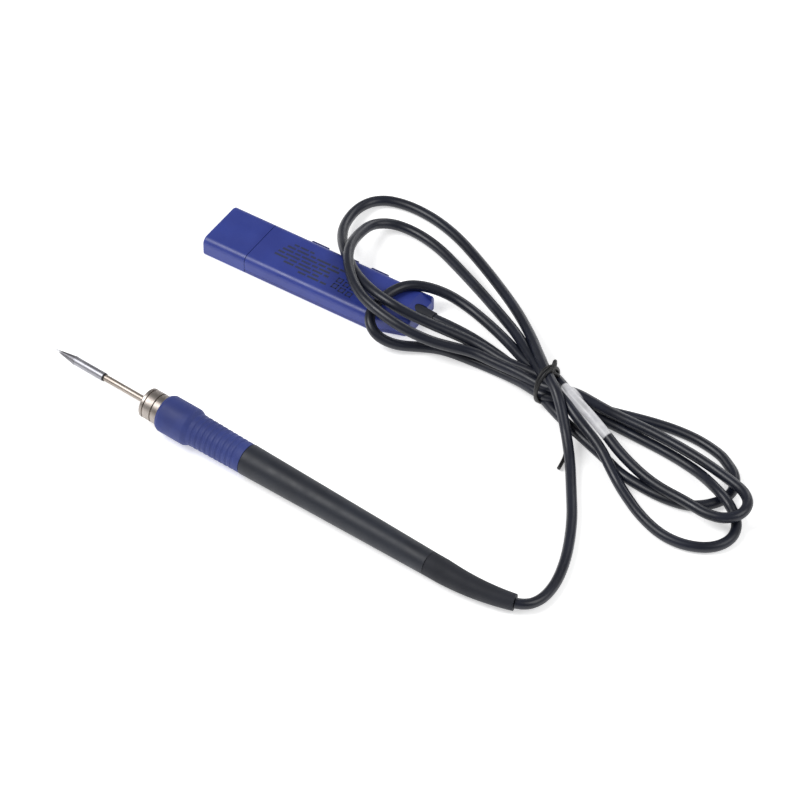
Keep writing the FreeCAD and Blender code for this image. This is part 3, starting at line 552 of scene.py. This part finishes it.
# For each slot: what makes its finish, and its colours, roughness and grain.
SLOT_FINISHES = {
    "bit_metal": (tip_finish,),
    "sleeve_steel": (metal, (172, 172, 178), (136, 136, 144), (0.4, 0.52),
                     DRAWN),
    "shank_steel": (metal, (178, 168, 160), (140, 130, 122), (0.36, 0.48),
                    DRAWN),
    "seal_black": (rubber, (34, 34, 36), (26, 26, 28), (0.5, 0.65)),
    "ceramic": (moulded, (232, 228, 216), (220, 214, 200), (0.35, 0.5)),
    "contact_brass": (metal, (222, 196, 138), (196, 166, 104), (0.2, 0.35)),
    "wire_copper": (metal, (214, 150, 118), (184, 118, 86), (0.25, 0.4)),
    "collar_steel": (metal, (178, 170, 164), (134, 126, 120), (0.34, 0.46),
                     TURNED, 0.5),
    "grip_rubber": (rubber, (58, 70, 134), (50, 60, 118), (0.5, 0.66)),
    "core_plastic": (moulded, (44, 45, 50), (36, 37, 41), (0.45, 0.6)),
    "barrel_plastic": (moulded, (38, 42, 52), (33, 36, 45), (0.44, 0.56)),
    "boot_rubber": (rubber, (40, 42, 50), (34, 36, 43), (0.55, 0.7)),
    "lead_insulation": (rubber, (150, 40, 36), (126, 30, 28), (0.4, 0.55)),
    "crimp_metal": (metal, (204, 204, 204), (178, 178, 180), (0.3, 0.45)),
    "shell_plastic": (moulded, (56, 70, 150), (50, 62, 138), (0.3, 0.42)),
    "cover_plastic": (moulded, (52, 62, 136), (46, 55, 124), (0.34, 0.46)),
    "cap_plastic": (moulded, (55, 69, 148), (49, 61, 136), (0.3, 0.42)),
    "button_plastic": (moulded, (40, 48, 108), (34, 41, 96), (0.35, 0.5)),
    "plug_steel": (metal, (214, 214, 216), (190, 190, 194), (0.14, 0.26),
                   DRAWN),
    "tongue_plastic": (moulded, (226, 226, 222), (212, 212, 208), (0.4, 0.5)),
    "board_laminate": (moulded, (42, 112, 74), (34, 98, 62), (0.25, 0.4),
                       900.0),
    "chip_black": (moulded, (40, 40, 42), (32, 32, 34), (0.45, 0.6), 3400.0),
    "inductor_grey": (moulded, (104, 104, 108), (90, 90, 94), (0.5, 0.65)),
    "switch_metal": (metal, (206, 206, 202), (182, 182, 178), (0.25, 0.4)),
    "display_black": (moulded, (30, 30, 38), (24, 24, 30), (0.08, 0.16),
                      2600.0, 0.05),
    "window_clear": (moulded, (88, 92, 104), (76, 80, 92), (0.06, 0.14),
                     2600.0, 0.05),
    "cord_jacket": (cord_finish,),
    "tie_plastic": (moulded, (34, 34, 36), (25, 25, 27), (0.36, 0.55),
                    1400.0, 0.4),
}
FINISHES = {
    slot: make(slot, *values)
    for slot, (make, *values) in SLOT_FINISHES.items()
}
PRINT_FINISH = moulded("print_grey", (58, 62, 78), (46, 52, 84),
                       (0.4, 0.55))


def paint(piece, finish):
    """Gives a piece or a CAD node its one finish."""
    if not piece.material_slots:
        piece.data.materials.append(finish.material)
    for holder in piece.material_slots:
        holder.material = finish.material


for subpart in frame["record"]["subparts"]:
    paint(bpy.data.objects[subpart["node"]],
          FINISHES[subpart["material_slot"]])
paint(cord, FINISHES["cord_jacket"])
for piece in (tie_band, tie_ends):
    paint(piece, FINISHES["tie_plastic"])
paint(stick_print, PRINT_FINISH)

# ---- floor and light ---------------------------------------------------------

WHITE = (1, 1, 1, 1)
FLOOR_SIZE = 3.0
FLOOR_DROP = 0.1
FLOOR_GLOW = 0.5


def add_floor():
    mesh = bpy.data.meshes.new("floor")
    floor = bpy.data.objects.new("floor", mesh)
    work = bmesh.new()
    bmesh.ops.create_grid(work, x_segments=1, y_segments=1,
                          size=FLOOR_SIZE)
    work.to_mesh(mesh)
    work.free()
    floor.location = mm(0, 0, -FLOOR_DROP)
    bpy.context.collection.objects.link(floor)
    finish = Finish("floor_white", (0.94, 0.94, 0.94, 1),
                    (0.93, 0.93, 0.93, 1), (0.7, 0.8))
    finish.shader.inputs["Specular IOR Level"].default_value = 0.0
    finish.shader.inputs["Emission Color"].default_value = WHITE
    finish.shader.inputs["Emission Strength"].default_value = FLOOR_GLOW
    paint(floor, finish)


def add_light(name, position, energy, size):
    data = bpy.data.lights.new(name, "AREA")
    data.energy = energy
    data.size = size
    lamp = bpy.data.objects.new(name, data)
    lamp.location = position
    aim = (Vector((0, 0, 0)) - position).normalized()
    lamp.rotation_euler = aim.to_track_quat("-Z", "Y").to_euler()
    bpy.context.collection.objects.link(lamp)


def add_world(strength):
    world = bpy.data.worlds.new("world")
    world.use_nodes = True
    background = world.node_tree.nodes["Background"]
    background.inputs["Color"].default_value = WHITE
    background.inputs["Strength"].default_value = strength
    bpy.context.scene.world = world


add_floor()
add_light("key", Vector((-0.75, -0.55, 1.15)), 13, 0.7)
add_light("fill", Vector((0.95, 0.25, 0.85)), 5.5, 0.8)
add_light("rim", Vector((-0.1, 1.25, 0.55)), 3, 0.6)
add_world(0.25)
bpy.context.scene.view_settings.view_transform = "Standard"
